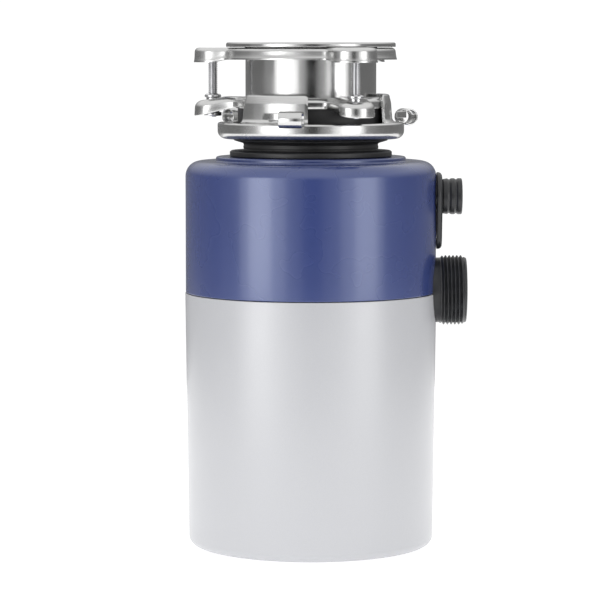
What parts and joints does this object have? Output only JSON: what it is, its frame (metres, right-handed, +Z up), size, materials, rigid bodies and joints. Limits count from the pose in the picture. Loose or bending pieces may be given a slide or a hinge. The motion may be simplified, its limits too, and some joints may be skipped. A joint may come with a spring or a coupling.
{
  "type": "kitchen garbage disposal",
  "caption": "Upright kitchen garbage disposal: blue and grey casing, screw-clamped sink mount with locking ring, threaded drain outlet, dishwasher inlet and swivelling impellers inside.",
  "frame": {"origin": "centre of the flat underside of the lower jacket, on the shaft axis", "axes": "+Z up along the shaft axis towards the sink, +X the way the drain outlet and the dishwasher inlet point, +Y away from the viewer of the front"},
  "size_m": [0.1895, 0.1692, 0.3394],
  "materials": {
    "polished": "polished stainless steel",
    "steel": "satin stainless steel",
    "zinc": "bright zinc-plated steel",
    "cast": "die-cast, matt",
    "blue": "gloss blue enamel",
    "grey": "satin light grey lacquer",
    "black": "moulded black plastic, satin",
    "rubber": "black rubber, satin",
    "foam": "acoustic foam, matt",
    "fibre": "fibre board, matt",
    "copper": "enamelled copper wire",
    "bronze": "sintered bronze",
    "iron": "laminated electrical steel",
    "red": "gloss red plastic"
  },
  "bodies": {
    "housing": {"centrifugal_switch": "fibre", "chamber_gasket": "rubber", "cord_bushing": "black", "cover_screw_1": "zinc", "cover_screw_2": "zinc", "discharge_outlet": "black", "dishwasher_inlet": "black", "grind_chamber": "cast", "inlet_plate": "black", "inlet_screw": "zinc", "lower_bush": "bronze", "lower_end_bell": "cast", "lower_jacket": "grey", "motor_bolt_1": "zinc", "motor_bolt_2": "zinc", "motor_bolt_3": "zinc", "motor_bolt_4": "zinc", "mounting_ring": "polished", "outlet_gasket": "rubber", "overload_protector": "black", "rubber_mount": "rubber", "shaft_seal": "rubber", "shredder_ring": "steel", "sink_flange": "polished", "snap_ring": "steel", "sound_insulation": "foam", "splash_baffle": "rubber", "start_capacitor": "black", "stator_core": "iron", "terminal_cover": "black", "threaded_insert_1": "zinc", "threaded_insert_2": "zinc", "threaded_insert_3": "zinc", "thrust_washer": "bronze", "upper_bush": "bronze", "upper_end_bell": "cast", "upper_housing": "blue", "winding_lower": "copper", "winding_upper": "copper"},
    "clamp_flange": {"backup_flange": "polished", "flange_gasket": "rubber"},
    "screw_1": {"mounting_screw_1": "zinc"},
    "screw_2": {"mounting_screw_2": "zinc"},
    "screw_3": {"mounting_screw_3": "zinc"},
    "lock_ring": {"lock_ring": "polished", "lock_lug_1": "polished", "lock_lug_2": "polished", "lock_lug_3": "polished"},
    "rotor": {"turntable": "steel", "hub_nut": "zinc", "impeller_rivet_1": "steel", "impeller_rivet_2": "steel", "drive_shaft": "steel", "rotor_core": "iron", "rotor_end_ring_upper": "cast", "rotor_end_ring_lower": "cast", "switch_spool": "black"},
    "impeller_1": {"impeller_1": "steel"},
    "impeller_2": {"impeller_2": "steel"},
    "reset_button": {"reset_button": "red"}
  },
  "joints": [
    {"name": "clamp_slide", "type": "slide", "parent": "housing", "child": "clamp_flange", "axis": [0, 0, 1], "range_m": [-0.012, 0]},
    {"name": "screw_1_turn", "type": "hinge", "parent": "clamp_flange", "child": "screw_1", "pos_m": [-0.06604, 0.00462, 0.312], "axis": [0, 0, 1], "range_deg": [-3410, 0]},
    {"name": "screw_2_turn", "type": "hinge", "parent": "clamp_flange", "child": "screw_2", "pos_m": [0.02902, -0.0595, 0.312], "axis": [0, 0, 1], "range_deg": [-3410, 0]},
    {"name": "screw_3_turn", "type": "hinge", "parent": "clamp_flange", "child": "screw_3", "pos_m": [0.03702, 0.05488, 0.312], "axis": [0, 0, 1], "range_deg": [-3410, 0]},
    {"name": "lock_turn", "type": "hinge", "parent": "housing", "child": "lock_ring", "pos_m": [0, 0, 0.281], "axis": [0, 0, 1], "range_deg": [-20, 0]},
    {"name": "rotor_spin", "type": "hinge", "parent": "housing", "child": "rotor", "pos_m": [0, 0, 0.1], "axis": [0, 0, 1], "continuous": true},
    {"name": "impeller_1_swing", "type": "hinge", "parent": "rotor", "child": "impeller_1", "pos_m": [0.038, 0, 0.205], "axis": [0, 0, 1], "continuous": true},
    {"name": "impeller_2_swing", "type": "hinge", "parent": "rotor", "child": "impeller_2", "pos_m": [-0.038, 0, 0.205], "axis": [0, 0, 1], "continuous": true},
    {"name": "button_push", "type": "slide", "parent": "housing", "child": "reset_button", "axis": [0, 0, 1], "range_m": [0, 0.0025], "stiffness_N_per_m": 300}
  ],
  "couplings": [
    {"joint": "screw_1_turn", "follows": "clamp_slide", "rad_per_m": 4947.4},
    {"joint": "screw_2_turn", "follows": "clamp_slide", "rad_per_m": 4947.4},
    {"joint": "screw_3_turn", "follows": "clamp_slide", "rad_per_m": 4947.4}
  ]
}
